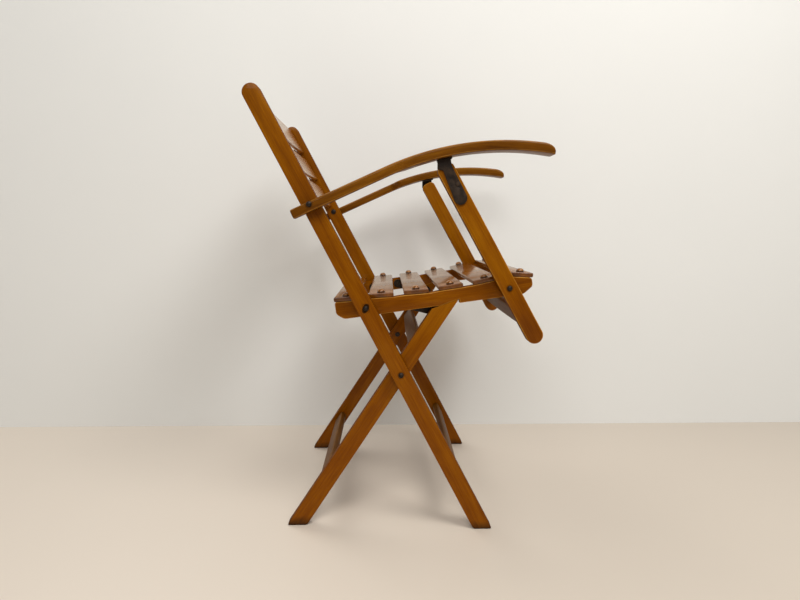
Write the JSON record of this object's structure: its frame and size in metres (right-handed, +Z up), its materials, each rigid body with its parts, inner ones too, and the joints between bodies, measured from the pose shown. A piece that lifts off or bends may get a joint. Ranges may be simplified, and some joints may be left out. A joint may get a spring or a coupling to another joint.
{
  "type": "folding armchair",
  "caption": "Folding slatted wooden armchair with crossed legs, arched armrests on swinging posts and a slatted back.",
  "frame": {"origin": "centre of the footprint box of the open chair, on the ground", "axes": "+Z up, the sitter faces -Y, +X is the sitter's left"},
  "size_m": [0.4996, 0.5218, 0.7794],
  "materials": {
    "varnished_wood": "honey to amber glossy clear varnish, straight fine grain",
    "dark_iron": "dull blackened steel",
    "button_cap": "dark brown, shiny"
  },
  "bodies": {
    "back_frame": {"back_slat_top": "varnished_wood", "back_slat_middle": "varnished_wood", "back_slat_bottom": "varnished_wood", "front_stretcher": "varnished_wood", "back_post_right": "varnished_wood", "cross_pivot_right": "dark_iron", "seat_pivot_right": "dark_iron", "arm_pivot_right": "dark_iron", "back_post_left": "varnished_wood", "cross_pivot_left": "dark_iron", "seat_pivot_left": "dark_iron", "arm_pivot_left": "dark_iron"},
    "seat": {"seat_rail_right": "varnished_wood", "post_pivot_right": "dark_iron", "link_rail_rivet_right": "dark_iron", "seat_rail_left": "varnished_wood", "post_pivot_left": "dark_iron", "link_rail_rivet_left": "dark_iron", "seat_slat_1": "varnished_wood", "seat_button_right_1": "button_cap", "seat_button_left_1": "button_cap", "seat_slat_2": "varnished_wood", "seat_button_right_2": "button_cap", "seat_button_left_2": "button_cap", "seat_slat_3": "varnished_wood", "seat_button_right_3": "button_cap", "seat_button_left_3": "button_cap", "seat_slat_4": "varnished_wood", "seat_button_right_4": "button_cap", "seat_button_left_4": "button_cap", "seat_slat_5": "varnished_wood", "seat_button_right_5": "button_cap", "seat_button_left_5": "button_cap", "seat_slat_6": "varnished_wood", "seat_button_right_6": "button_cap", "seat_button_left_6": "button_cap"},
    "rear_legs": {"rear_stretcher_low": "varnished_wood", "rear_stretcher_high": "varnished_wood", "rear_leg_right": "varnished_wood", "rear_leg_left": "varnished_wood"},
    "arm_posts": {"arm_post_stretcher": "varnished_wood", "arm_post_right": "varnished_wood", "arm_post_left": "varnished_wood"},
    "arm_right": {"armrest_right": "varnished_wood", "arm_bracket_right": "dark_iron", "bracket_pin_right": "dark_iron", "bracket_screw_right_rear": "dark_iron", "bracket_screw_right_front": "dark_iron"},
    "arm_left": {"armrest_left": "varnished_wood", "arm_bracket_left": "dark_iron", "bracket_pin_left": "dark_iron", "bracket_screw_left_rear": "dark_iron", "bracket_screw_left_front": "dark_iron"},
    "link_right": {"fold_link_right": "dark_iron", "link_leg_rivet_right": "dark_iron"},
    "link_left": {"fold_link_left": "dark_iron", "link_leg_rivet_left": "dark_iron"}
  },
  "joints": [
    {"name": "seat_fold", "type": "hinge", "parent": "back_frame", "child": "seat", "pos_m": [0, 0.05675, 0.40308], "axis": [-1, 0, 0], "range_deg": [0, 83]},
    {"name": "rear_leg_fold", "type": "hinge", "parent": "back_frame", "child": "rear_legs", "pos_m": [0, -0.00445, 0.285], "axis": [-1, 0, 0], "range_deg": [0, 37.8]},
    {"name": "arm_post_swing", "type": "hinge", "parent": "seat", "child": "arm_posts", "pos_m": [0, -0.19236, 0.43765], "axis": [-1, 0, 0], "range_deg": [-83, 0]},
    {"name": "arm_swing_right", "type": "hinge", "parent": "back_frame", "child": "arm_right", "pos_m": [-0.2466, 0.14879, 0.58064], "axis": [-1, 0, 0], "range_deg": [0, 83]},
    {"name": "arm_swing_left", "type": "hinge", "parent": "back_frame", "child": "arm_left", "pos_m": [0.2466, 0.14879, 0.58064], "axis": [-1, 0, 0], "range_deg": [0, 83]},
    {"name": "link_swing_right", "type": "hinge", "parent": "seat", "child": "link_right", "pos_m": [-0.1826, -0.00484, 0.40961], "axis": [-1, 0, 0], "range_deg": [-115, 0]},
    {"name": "link_swing_left", "type": "hinge", "parent": "seat", "child": "link_left", "pos_m": [0.1826, -0.00484, 0.40961], "axis": [-1, 0, 0], "range_deg": [-115, 0]}
  ],
  "couplings": [
    {"joint": "rear_leg_fold", "follows": "seat_fold", "ratio": 0.45482},
    {"joint": "arm_post_swing", "follows": "seat_fold", "ratio": -1},
    {"joint": "arm_swing_right", "follows": "seat_fold", "ratio": 1},
    {"joint": "arm_swing_left", "follows": "seat_fold", "ratio": 1},
    {"joint": "link_swing_right", "follows": "seat_fold", "ratio": -1.3849},
    {"joint": "link_swing_left", "follows": "seat_fold", "ratio": -1.3849}
  ]
}
